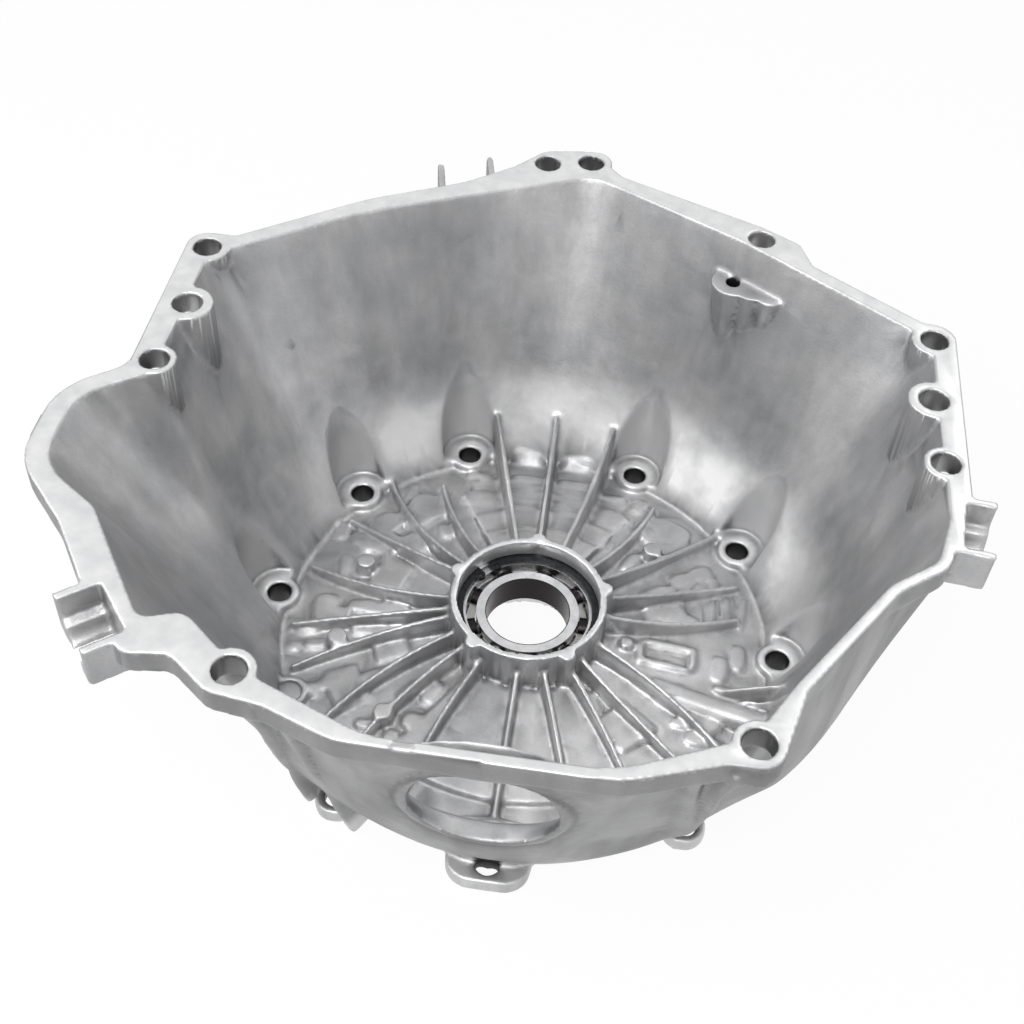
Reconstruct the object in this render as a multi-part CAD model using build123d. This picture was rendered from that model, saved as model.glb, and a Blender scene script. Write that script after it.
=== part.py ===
from build123d import *
import math
import os

# Torque converter housing: one aluminium casting with the shaft's ball bearing in its hub.
# Millimetres. The origin is on the shaft axis in the transmission face, the plane the casting
# stands on. +Z points to the engine face, +Y to the top of the bell's mouth.

# Bell: heights above the transmission face, and radii of its round inner form
rim_z = 153.5            # engine face
rim_t = 12.0             # depth of the engine flange
knee_z = 58.0            # where the round shoulder turns into the flat sided wall
floor_edge_z = 12.0      # where the floor meets the shoulder
floor_edge_r = 118.0
shoulder_run = 23.0      # how far the shoulder leans out from the floor's edge to the knee
knee_r = floor_edge_r + shoulder_run
cheek_shift = (9.0, 2.0)  # the right side's wall bulges outwards at the knee
cheek_step = 0.4
wall_t = 4.6             # wall at the mouth
shoulder_t = 6.0         # wall along the shoulder

# Inner edge of the mouth, counter-clockwise: x, y and corner radius
MOUTH = [
    (167.5, 89.5, 14), (80, 146, 120), (2, 185, 20), (-104, 132, 120), (-166.5, 84.5, 14),
    (-167.5, 2, 10), (-194, -16, 26), (-194, -56, 26), (-166, -75.5, 12), (-133, -125.5, 6),
    (-117, -119.5, 9), (-92, -141, 10), (-42, -161.5, 40), (45, -161.5, 50), (92, -140, 8),
    (108, -113, 10), (143, -61, 12), (163, -45, 12), (168.5, -22, 20),
]
# Outer edge of the engine flange, counter-clockwise: x, y and corner radius
RIM_EDGE = [
    (178.5, 101, 10), (164, 101.5, 6), (113, 134, 4), (107, 149.5, 7), (88, 160, 9.5),
    (17, 187.5, 8), (-1, 207, 9), (-24, 202, 9), (-38, 185, 8), (-60, 166.5, 40),
    (-104, 142.5, 100), (-158, 101, 6), (-178.5, 101, 10), (-178.5, 5, 12), (-203, -14, 33),
    (-203, -56, 33), (-176, -86, 30), (-157, -115, 3), (-134, -142, 6), (-117, -139.5, 8),
    (-100, -153, 10), (-80, -155.5, 20), (-52, -165.8, 30), (48, -165.8, 40), (84, -153, 6),
    (102, -153, 10), (112.5, -112, 12), (146.5, -64, 14), (166.5, -49, 12), (173, -24, 12),
    (178.5, -9, 6),
]

# Engine flange holes: M12 clearance, and the two dowel holes
rim_hole_r = 6.4
dowel_r = 6.8
dowel_depth = 14.0
corner_x, corner_y = 168.5, 90.1
side_x, side_y = 168.7, 10.6
foot_x, foot_y = 94.0, -142.4
dowel_x, dowel_y = 165.9, 49.45
TOP_HOLES = [(-21.6, 191.2), (0.0, 196.4), (88.2, 149.9)]
rim_boss_r = 10.0
# Columns inside the mouth behind the holes, and the access pockets cut into them from outside
corner_column_r = 10.6
side_column_r = 9.6
dowel_column_r = 11.6
pocket_skin = 2.2
column_drop = 61.5       # how far down the columns reach from the engine face
column_foot_z = rim_z - column_drop

# Hub, and the deep groove ball bearing in it
bearing_bore_r = 20.0
bearing_outer_r = 34.0
bearing_width = 15.0
bearing_z = 16.0         # underside of the bearing, on its seat
bearing_section = bearing_outer_r - bearing_bore_r
ball_r = 3.97 / 14 * bearing_section
ball_count = 9
inner_land_r = bearing_bore_r + 4.6 / 14 * bearing_section
outer_land_r = bearing_outer_r - 4.4 / 14 * bearing_section
groove_clearance = 0.05
cage_strip_t = 0.9
cage_land_gap = 0.7
cage_waist_h = 2.2
pocket_clearance = 0.15
bearing_fit = 0.03
hub_z = 42.0             # top of the hub ring
hub_wall = 3.4
hub_foot_wall = 10.0     # barrel under the floor
seat_lip = 3.5
hub_lug_count = 5
hub_lug_r = 4.0
hub_lug_step = 7.5       # lugs' reach outside the bearing
hub_lug_reach = bearing_outer_r + hub_lug_step
hub_lug_angle = 18.0
ring_t = 1.75            # internal retaining ring
ring_overlap = 3.1       # retaining ring over the bearing's outer ring
ring_inner_r = bearing_outer_r - ring_overlap
ring_groove_depth = 1.7
ring_groove_r = bearing_outer_r + ring_groove_depth
ring_gap = 0.1
ring_opening = 9.0       # degrees
ring_opening_at = 137.0
ring_eye_r = 2.6
ring_eye_hole_r = 1.1

# Floor of the bell and its underside
floor_hub_z = 20.0
floor_t = 7.0
recess_step = 12.0       # hollow's inner edge outside the bearing
recess_inner_r = bearing_outer_r + recess_step
face_land = 13.0         # width of the transmission face round the hollow
recess_outer_r = floor_edge_r - face_land
web_count = 10
web_t = 5.0
web_relief = 1.0
web_root = 2.0

# Bolts round the transmission face: M10 clearance on one pitch circle
bolt_step = 4.7          # bolt circle outside the floor's edge
bolt_pcd_r = floor_edge_r + bolt_step
bolt_hole_r = 5.6
bolt_boss_r = 10.0
bolt_boss_z = 16.7
INNER_BOLTS = [1.3, 34.9, 69.1, 112.0, 142.0, 178.6]
OUTER_BOLTS = [234.5, 270.0, 313.0]
scallop_r = 14.5         # tool room cut into the shoulder behind a bolt
scallop_wall = 4.8
ear_z = 8.0              # ears for the bolts outside the wall
ear_pocket_r = 7.5       # room above an ear's hole, cut into the wall from outside
ear_pocket_z = 21.0
ear_pocket_wall = 4.5
tab_width = 38.0         # the nearest ear is a wide tab
tab_end = 9.8            # past the bolt circle, and back from it into the wall
tab_root = 16.0
tab_corner_r = 12.0
port_x, port_y = -104.0, -54.0
port_boss_r = 9.0

# Ribs on the floor: angle at the hub, angle at the outer end, reach past the floor's edge
RIBS = [
    (130.6, 122.4, -14), (144.6, 132.5, 10), (152.3, 150.3, -4), (177.0, 168.7, -4),
    (187.5, 187.8, -4), (195.0, 200.9, -4), (210.0, 219.4, -4), (224.0, 230.8, -2),
    (242.0, 248.0, 0), (270.0, 270.0, 0), (289.4, 287.7, 0), (308.4, 304.0, 0),
    (319.4, 321.0, -4), (338.7, 331.0, -6), (4.3, 12.8, -12), (21.8, 24.2, -6),
    (38.5, 41.6, 2), (50.5, 59.0, -10),
]
TALL_RIBS = [(104.7, 104.9, 12), (90.0, 90.8, 12), (74.0, 77.0, 12)]
# Raised fields of the floor between the ribs: inner and outer radius, first and last angle, height
FIELDS = [
    (38, 62, 62, 118, 4.0), (60, 77, 62, 118, 2.8), (75, 92, 62, 118, 1.8), (90, 104, 66, 114, 0.9),
    (40, 96.5, 236, 306, 2.2), (84, 100, 125, 141, 2.5), (80, 104, 146, 156, 2.5),
    (66, 82, 158, 170, 2.0), (86, 104, 181, 189, 2.5), (58, 74, 190, 206, 2.0),
    (84, 100, 204, 218, 2.0), (86, 104, 43, 58, 2.5), (60, 80, 14, 30, 2.0),
    (88, 104, 332, 344, 2.0), (62, 82, 310, 325, 2.0),
]
# Round posts on the floor, and the oil gallery's ridge from its hub end to its wall end
POSTS = [(-84.0, 25.0), (-88.0, -23.0), (-58.0, -62.0), (57.0, 58.0)]
post_r = 5.0
post_z = 23.0
GALLERY = ((62.0, -24.0), (122.0, -38.0))
gallery_r = 6.0
gallery_z = 15.0
rib_t = 2.6
rib_foot_z = 11.0        # inside the floor's thickness
rib_hub_z = 33.0
rib_end_z = 17.5
rib_fall = 6.0           # the crest levels out this far inside the floor's edge
rib_end_r = floor_edge_r - rib_fall
tall_rib_end_z = 38.0

# Window low in the near wall
window_r = 32.0
window_drop = 52.0       # its middle below the engine face
window_z = rim_z - window_drop
window_frame = 3.5
window_frame_t = 1.5     # outside the wall
window_boss_t = 4.0      # inside the wall

# Forked lugs on the flange: root of the seat, outward direction in degrees, and length
LUGS = [(-143.0, -122.0, 218.5, 17.0), (174.5, -23.5, 354.0, 12.5)]
lug_width = 32.0
lug_prong_t = 3.6
lug_h = 20.0
lug_seat_depth = 12.0
lug_root = 6.6           # how far a lug's block reaches back into the flange and wall

# Ribs down the outside of the wall: outer edge at the flange, and at the foot with its height
LEGS = [
    ((-86.0, -155.0), (-83.7, -106.0, 10.0)), ((-74.0, -157.8), (-62.5, -113.0, 1.0)),
    ((75.5, -154.7), (79.2, -122.0, 50.0)), ((88.5, -155.0), (83.3, -120.7, 50.0)),
]
leg_t = 5.0
leg_depth = 18.0
# Short fins on the outside of the far wall: root place and outward direction in degrees
FINS = [(-70.0, 160.0, 101.6), (-46.0, 172.0, 102.8)]
fin_t = 3.5
fin_length = 32.0
fin_drop = 8.0           # below the engine face
fin_h = 50.0
# Nub under the flange beside the right foot hole
nub_x, nub_y = 95.5, -149.5
nub_r = 4.5
nub_drop = 26.5

# Pad with a tapped hole on the inside of the far wall
pad_x, pad_y = 77.5, 138.0
pad_drop = 18.5          # below the engine face
pad_z = rim_z - pad_drop
pad_foot_r = 3.0
pad_hole_r = 3.4
pad_hole_depth = 22.0
# The boss, its middle and its wing: x, y, radius and taper below the pad's top
PAD_PARTS = [(pad_x, pad_y, 11.0, 44.0), (86.5, 134.0, 8.5, 32.0), (95.5, 129.5, 6.5, 24.0)]

# Cast pin boss in the near stretch of the engine face
pin_x, pin_y = -28.0, -164.0
pin_r = 4.8
pin_drop = 0.7

SLACK = 1.0              # how far a cutter runs past the face it leaves by


def polar(radius, degrees):
    return (radius * math.cos(math.radians(degrees)), radius * math.sin(math.radians(degrees)))


def at(x, y, z=0.0):
    return Location((x, y, z))


def post(x, y, radius, low, high):
    """An upright round bar between two heights."""
    return at(x, y, low) * Cylinder(radius, high - low, align=(Align.CENTER, Align.CENTER, Align.MIN))


def bolt_post(angle, radius, low, high):
    """An upright round bar on the bolt circle of the transmission face."""
    return Rot(0, 0, angle + 180) * post(-bolt_pcd_r, 0, radius, low, high)


def outline(corners):
    return FilletPolyline(*[(x, y) for x, y, r in corners], radius=[r for x, y, r in corners], close=True)


def ring_below(wire, radius, z, shift=(0, 0)):
    """A circle cut into arcs at the angles where the outline above has its corners, then shifted."""
    angles = [math.degrees(math.atan2((edge @ 0).Y, (edge @ 0).X)) for edge in wire.order_edges()]
    turns = zip(angles, angles[1:] + angles[:1])
    arcs = [CenterArc((0, 0), radius, start - 90, (end - start) % 360) for start, end in turns]
    return Wire(arcs).moved(at(*shift, z) * Rot(0, 0, 90))


def bell(grow, grow_shoulder, shift=(0, 0)):
    """The bell as one solid: round at the floor and the knee, and the mouth's outline at the top."""
    mouth = outline(MOUTH)
    if grow:
        mouth = mouth.offset_2d(grow)
    low = ring_below(mouth, floor_edge_r + grow_shoulder, floor_edge_z)
    knee = ring_below(mouth, knee_r + grow_shoulder, knee_z, shift)
    return Solid.make_loft([low, knee, mouth.moved(at(0, 0, rim_z))], ruled=True)


def mirrored(x, y):
    return [(x, y), (-x, y)]


def columns():
    """Each rim hole with a column inside the mouth: place, column radius, whether it has a pocket."""
    rows = [(place, corner_column_r, True) for place in mirrored(corner_x, corner_y)]
    rows += [(place, side_column_r, True) for place in mirrored(side_x, side_y)]
    rows += [(place, rim_boss_r, True) for place in mirrored(foot_x, foot_y)]
    rows += [(place, dowel_column_r, False) for place in mirrored(dowel_x, dowel_y)]
    return rows


def pad():
    """The pad on the far wall: a boss and its wing, each tapering to little down the wall."""
    upright = (Align.CENTER, Align.CENTER, Align.MIN)
    cones = [at(x, y, pad_z - taper) * Cone(pad_foot_r, radius, taper, align=upright)
             for x, y, radius, taper in PAD_PARTS]
    return Part() + cones


def window_zone():
    """A bar along Y through the near wall, as wide as the window with its raised frame."""
    return at(0, -knee_r, window_z) * Rot(90, 0, 0) * Cylinder(window_r + window_frame, knee_r / 2)


def cavity():
    """The space inside the bell, with the scallops behind the bolts and without the columns."""
    scallop_top = knee_z + scallop_r
    scallops = [bolt_post(angle, scallop_r, bolt_boss_z, scallop_top) for angle in INNER_BOLTS]
    solid_parts = [post(x, y, radius, column_foot_z, rim_z + SLACK)
                   for (x, y), radius, has_pocket in columns()]
    bumps = [bolt_post(angle, ear_pocket_r + ear_pocket_wall, 0, ear_pocket_z + wall_t)
             for angle in OUTER_BOLTS]
    boss = window_zone() - bell(-window_boss_t, -window_boss_t)
    return Part() + bell(0, 0) + scallops - solid_parts - bumps - pad() - boss


def base():
    """The floor with its hub, turned about the shaft axis."""
    ring_r = bearing_outer_r + hub_wall
    foot_r = bearing_outer_r + hub_foot_wall
    lip_r = bearing_outer_r - seat_lip
    edge_r = floor_edge_r + shoulder_t
    profile = Polyline(
        (lip_r, 0), (foot_r, 0), (recess_inner_r, floor_hub_z - floor_t - 3),
        (recess_outer_r, floor_edge_z - floor_t), (recess_outer_r + 2, 0), (floor_edge_r, 0),
        (floor_edge_r, floor_edge_z / 2), (edge_r, floor_edge_z), (floor_edge_r, floor_edge_z),
        (ring_r, floor_hub_z), (ring_r, hub_z), (bearing_outer_r + bearing_fit, hub_z),
        (bearing_outer_r + bearing_fit, bearing_z), (lip_r, bearing_z), close=True)
    return revolve(Plane.XZ * make_face(profile), Axis.Z)


def hub_lugs():
    """The five lugs round the hub ring."""
    centre_r = hub_lug_reach - hub_lug_r
    lugs = Part() + [
        post(*polar(centre_r, hub_lug_angle + i * 360 / hub_lug_count), hub_lug_r, rib_foot_z, hub_z)
        for i in range(hub_lug_count)]
    return lugs - post(0, 0, bearing_outer_r + hub_wall / 2, 0, hub_z + SLACK)


def ribs(rows, end_z):
    """Ribs that leave the hub square and bend to their outer ends, under one sloping crest."""
    start_r = bearing_outer_r + hub_wall / 2
    root_r = floor_edge_r + shoulder_t / 2
    slope = (knee_r - floor_edge_r) / (knee_z - floor_edge_z)
    meet_r = root_r + (end_z - floor_edge_z) * slope
    crest = Polyline(
        (start_r, rib_foot_z), (start_r, rib_hub_z), (rib_end_r, end_z), (meet_r, end_z),
        (root_r, rib_foot_z), close=True)
    ceiling = revolve(Plane.XZ * make_face(crest), Axis.Z)
    bands = []
    for start, end, past in rows:
        reach = floor_edge_r + past
        if start == end:
            path = Line(polar(start_r, start), polar(reach, end))
        else:
            path = TangentArc(polar(start_r, start), polar(reach, end), tangent=polar(1, start))
        bands.append(extrude(at(0, 0, rib_foot_z) * trace(path, rib_t), amount=rib_hub_z))
    return (Part() + bands) & ceiling


def floor_top(radius):
    """Height of the floor's conical top at a radius."""
    ring_r = bearing_outer_r + hub_wall
    fall = (floor_hub_z - floor_edge_z) / (floor_edge_r - ring_r)
    return floor_hub_z - (radius - ring_r) * fall


def fields():
    """The raised fields, each a ring sector parallel to the floor, the posts and the gallery."""
    pieces = []
    for inner, outer, start, end, height in FIELDS:
        section = Polyline(
            (inner, rib_foot_z), (inner, floor_top(inner) + height), (outer, floor_top(outer) + height),
            (outer, rib_foot_z), close=True)
        face = Plane.XZ * make_face(section)
        pieces.append(Rot(0, 0, start) * revolve(face, Axis.Z, revolution_arc=end - start))
    pieces += [post(x, y, post_r, rib_foot_z, post_z) for x, y in POSTS]
    (x0, y0), (x1, y1) = GALLERY
    length = math.hypot(x1 - x0, y1 - y0)
    turn = math.degrees(math.atan2(y1 - y0, x1 - x0))
    bar = Rot(0, 90, 0) * Cylinder(gallery_r, length, align=(Align.CENTER, Align.CENTER, Align.MIN))
    ridge = at(x0, y0, gallery_z) * Rot(0, 0, turn) * bar
    return pieces + [ridge & at(0, 0, rib_foot_z) * Box(
        4 * knee_r, 4 * knee_r, rim_z, align=(Align.CENTER, Align.CENTER, Align.MIN))]


def leg(top, foot):
    """A flat rib down the outside of the wall, set on edge towards the shaft axis."""
    sections = []
    for x, y, z in (foot, (*top, rim_z - rim_t / 2)):
        plane = Plane(origin=(x, y, z), x_dir=(x, y, 0), z_dir=(0, 0, 1))
        sections.append(plane * Pos(-leg_depth / 2, 0) * Rectangle(leg_depth, leg_t))
    return loft(sections, ruled=True)


def lugs():
    """The blocks of the forked lugs, rooted in the flange."""
    upright = (Align.MIN, Align.CENTER, Align.MAX)
    return [at(x, y, rim_z) * Rot(0, 0, outward) * Pos(-lug_root, 0, 0)
            * Box(length + lug_root, lug_width, lug_h, align=upright) for x, y, outward, length in LUGS]


def lug_seats():
    """The slot between each lug's two prongs, with a round cradle in its floor."""
    upright = (Align.MIN, Align.CENTER, Align.MAX)
    seats = []
    for x, y, outward, length in LUGS:
        place = at(x, y, rim_z) * Rot(0, 0, outward)
        seats.append(place * Pos(0, 0, SLACK) * Box(
            length + SLACK, lug_width - 2 * lug_prong_t, lug_seat_depth + SLACK, align=upright))
        seats.append(place * Pos(0, 0, -lug_seat_depth) * Rot(0, 90, 0) * Cylinder(
            lug_width / 4, length + SLACK, align=(Align.CENTER, Align.CENTER, Align.MIN)))
    return seats


def fin(x, y, outward):
    box = Box(fin_length, fin_t, fin_h, align=(Align.MIN, Align.CENTER, Align.MAX))
    return at(x, y, rim_z - fin_drop) * Rot(0, 0, outward) * box


def tab():
    """The nearest ear of the transmission face: a wide tab with rounded corners."""
    near, far, side = -bolt_pcd_r - tab_end, -bolt_pcd_r + tab_root, tab_width / 2
    corners = [(-side, far, SLACK), (side, far, SLACK),
               (side, near, tab_corner_r), (-side, near, tab_corner_r)]
    return extrude(make_face(outline(corners)), amount=ear_z)


def webs():
    """Straight webs across the hollow under the floor."""
    length = recess_outer_r - recess_inner_r + 2 * web_root
    web = Box(length, web_t, floor_t, align=(Align.MIN, Align.CENTER, Align.MIN))
    place = Pos(recess_inner_r - web_root, 0, web_relief)
    return [Rot(0, 0, (i + 0.5) * 360 / web_count) * place * web for i in range(web_count)]


def housing():
    frame = window_zone() & bell(wall_t + window_frame_t, shoulder_t + window_frame_t)
    flange = extrude(at(0, 0, rim_z - rim_t) * make_face(outline(RIM_EDGE)), amount=rim_t)
    shell = [flange, frame]
    shell += lugs()
    shell.append(post(nub_x, nub_y, nub_r, rim_z - nub_drop, rim_z - rim_t / 2))
    shell += [fin(x, y, outward) for x, y, outward in FINS]
    shell += [leg(top, foot) for top, foot in LEGS]
    shell += [bolt_post(angle, scallop_r + scallop_wall, 0, knee_z) for angle in INNER_BOLTS]
    cheek = bell(wall_t + cheek_step, shoulder_t + cheek_step, cheek_shift)
    right_half = Box(2 * knee_r, 4 * knee_r, 4 * rim_z, align=(Align.MIN, Align.CENTER, Align.CENTER))
    cheek = Part() + cheek & right_half
    body = Part() + bell(wall_t, shoulder_t) + cheek + shell - cavity() - lug_seats()
    added = [base(), hub_lugs(), ribs(RIBS, rib_end_z), ribs(TALL_RIBS, tall_rib_end_z)]
    added += [bolt_post(angle, bolt_boss_r, 0, bolt_boss_z) for angle in INNER_BOLTS]
    added += [bolt_post(angle, bolt_boss_r, 0, ear_z) for angle in OUTER_BOLTS]
    added += [tab(), post(port_x, port_y, port_boss_r, floor_edge_z / 2, bolt_boss_z)]
    return cut_holes(body + added + fields() + webs())


def pocket_mouth(x, y, radius):
    """The open side of an access pocket, away from the shaft axis."""
    outward = math.degrees(math.atan2(y, x))
    high = rim_z - rim_t - column_foot_z - rim_t
    block = Box(3 * radius, 2 * radius, high, align=(Align.MIN, Align.CENTER, Align.MIN))
    return at(x, y, column_foot_z + rim_t) * Rot(0, 0, outward) * block


def cut_holes(body):
    bolt_top = bolt_boss_z + SLACK
    cuts = [bolt_post(angle, bolt_hole_r, -SLACK, bolt_top) for angle in INNER_BOLTS]
    cuts += [bolt_post(angle, bolt_hole_r, -SLACK, ear_z + SLACK) for angle in OUTER_BOLTS]
    cuts += [bolt_post(angle, ear_pocket_r, ear_z, ear_pocket_z) for angle in OUTER_BOLTS]
    cuts.append(post(port_x, port_y, bolt_hole_r, -SLACK, bolt_top))
    under_flange = rim_z - rim_t
    for (x, y), radius, has_pocket in columns():
        if has_pocket:
            cuts.append(post(x, y, rim_hole_r, under_flange - SLACK, rim_z + SLACK))
            cuts.append(post(x, y, radius - pocket_skin, column_foot_z + rim_t, under_flange))
            cuts.append(pocket_mouth(x, y, radius - pocket_skin))
        else:
            cuts.append(post(x, y, dowel_r, rim_z - dowel_depth, rim_z + SLACK))
    for x, y in TOP_HOLES:
        cuts.append(post(x, y, rim_hole_r, under_flange - SLACK, rim_z + SLACK))
    cuts.append(post(pad_x, pad_y, pad_hole_r, pad_z - pad_hole_depth, pad_z + SLACK))
    cuts.append(post(pin_x, pin_y, pin_r, rim_z - pin_drop, rim_z + SLACK))
    cuts.append(at(0, -knee_r, window_z) * Rot(90, 0, 0) * Cylinder(window_r, knee_r / 2))
    groove = bearing_z + bearing_width + ring_gap
    cuts.append(post(0, 0, ring_groove_r, groove, groove + ring_t + ring_gap))
    return body - cuts


def ring_section(inner_r, outer_r):
    """A bearing ring turned about the shaft axis, with the groove for the balls."""
    pitch_r = (inner_land_r + outer_land_r) / 2
    middle = bearing_width / 2
    blank = Pos((inner_r + outer_r) / 2, middle) * Rectangle(outer_r - inner_r, bearing_width)
    blank -= Pos(pitch_r, middle) * Circle(ball_r + groove_clearance)
    return at(0, 0, bearing_z) * revolve(Plane.XZ * blank, Axis.Z)


def ball_places():
    pitch_r = (inner_land_r + outer_land_r) / 2
    return [(polar(pitch_r, i * 360 / ball_count), i * 360 / ball_count) for i in range(ball_count)]


def balls():
    z = bearing_z + bearing_width / 2
    return Compound(children=[at(x, y, z) * Sphere(ball_r) for (x, y), angle in ball_places()])


def cage():
    """The riveted cage: a flat waist that swells over each ball."""
    low_r = inner_land_r + cage_land_gap
    high_r = outer_land_r - cage_land_gap
    pocket_r = ball_r + pocket_clearance
    z = bearing_z + bearing_width / 2
    strip = Cylinder(high_r, cage_waist_h)
    swell = Part()
    hollow = Part()
    for (x, y), angle in ball_places():
        place = at(x, y) * Rot(0, 0, angle) * Rot(0, 90, 0)
        swell += place * Cylinder(pocket_r + cage_strip_t, 2 * ball_r)
        hollow += place * Cylinder(pocket_r, 4 * ball_r)
    tube = Cylinder(high_r, bearing_width) - Cylinder(low_r, bearing_width)
    return at(0, 0, z) * (((strip + swell) & tube) - hollow)


def retaining_ring():
    """The sprung ring over the bearing: a flat ring with a gap and an eye at each end."""
    outer_r = ring_groove_r - ring_gap
    flat = Circle(outer_r) - Circle(ring_inner_r)
    half = ring_opening / 2
    wedge = Polyline((0, 0), polar(2 * outer_r, -half), polar(2 * outer_r, half), close=True)
    flat -= make_face(wedge)
    eye_r = ring_inner_r
    eye_angle = half + math.degrees(ring_eye_r / eye_r)
    for side in (-1, 1):
        eye = Pos(*polar(eye_r, side * eye_angle))
        flat += eye * Circle(ring_eye_r)
        flat -= eye * Circle(ring_eye_hole_r)
    z = bearing_z + bearing_width + ring_gap
    return at(0, 0, z) * Rot(0, 0, ring_opening_at) * extrude(flat, amount=ring_t)


os.makedirs("parts", exist_ok=True)
NODES = {
    "housing": housing(),
    "bearing_outer_ring": ring_section(outer_land_r, bearing_outer_r),
    "bearing_inner_ring": ring_section(bearing_bore_r, inner_land_r),
    "bearing_balls": balls(),
    "bearing_cage": cage(),
    "retaining_ring": retaining_ring(),
}
for name, shape in NODES.items():
    export_step(shape, f"parts/{name}.step")
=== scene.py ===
import bmesh
import bpy
import math
import numpy as np
from mathutils import Matrix, Vector


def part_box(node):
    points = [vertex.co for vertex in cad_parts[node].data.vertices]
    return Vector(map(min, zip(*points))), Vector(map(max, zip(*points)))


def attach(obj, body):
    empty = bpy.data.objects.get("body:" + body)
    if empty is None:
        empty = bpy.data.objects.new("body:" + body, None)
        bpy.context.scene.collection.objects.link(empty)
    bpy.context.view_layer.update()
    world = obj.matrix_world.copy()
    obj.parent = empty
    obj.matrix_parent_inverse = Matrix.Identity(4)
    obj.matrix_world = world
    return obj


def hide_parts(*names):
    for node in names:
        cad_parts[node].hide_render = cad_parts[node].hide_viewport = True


# Torque converter housing: a blasted aluminium casting with bright machined faces, and the
# shaft's ball bearing held in its hub by a black retaining ring. Metres, in the frame's axes.

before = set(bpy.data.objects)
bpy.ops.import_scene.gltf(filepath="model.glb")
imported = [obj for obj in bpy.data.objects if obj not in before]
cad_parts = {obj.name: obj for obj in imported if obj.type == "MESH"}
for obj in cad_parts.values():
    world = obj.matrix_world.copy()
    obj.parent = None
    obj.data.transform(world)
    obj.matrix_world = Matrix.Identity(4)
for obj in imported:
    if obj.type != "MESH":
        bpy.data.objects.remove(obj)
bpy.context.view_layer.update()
MM = 0.001

# Heights and radii of the casting that the finish follows, in metres
rim_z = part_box("housing")[1][2]
bearing_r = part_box("bearing_outer_ring")[1][0]
hub_r = bearing_r + 3.4 * MM
hub_z = 42 * MM
boss_top = 16.7 * MM
boss_r = 10 * MM
scallop_r = 14.5 * MM
bolt_circle = 122.7 * MM
boss_angles = np.radians([1.3, 34.9, 69.1, 112.0, 142.0, 178.6])
bolt_angles = np.append(boss_angles, np.radians([234.5, 270.0, 313.0]))
bolt_hole_r = 6.6 * MM
rim_hole_r = 7.6 * MM
pad_x, pad_y, pad_hole_r = 77.5 * MM, 138 * MM, 4.4 * MM
floor_hub_r = 37.4 * MM
floor_hub_z = 20 * MM
floor_edge_r = 118 * MM
floor_edge_z = 12 * MM
knee_z = 58 * MM
knee_r = 141 * MM
shoulder_lean = 0.5
flange_low = rim_z - 12 * MM
window_z = rim_z - 52 * MM
window_r = 32 * MM
# The near wall's outer face at the rim, the window's lip included, and how it leans in below
near_wall_y = -(161.5 + 4.6 + 1.5) * MM
near_wall_lean = 0.27
skin_depth = 0.5 * MM
voxel = 1.0 * MM
triangle_limit = 190000

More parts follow.
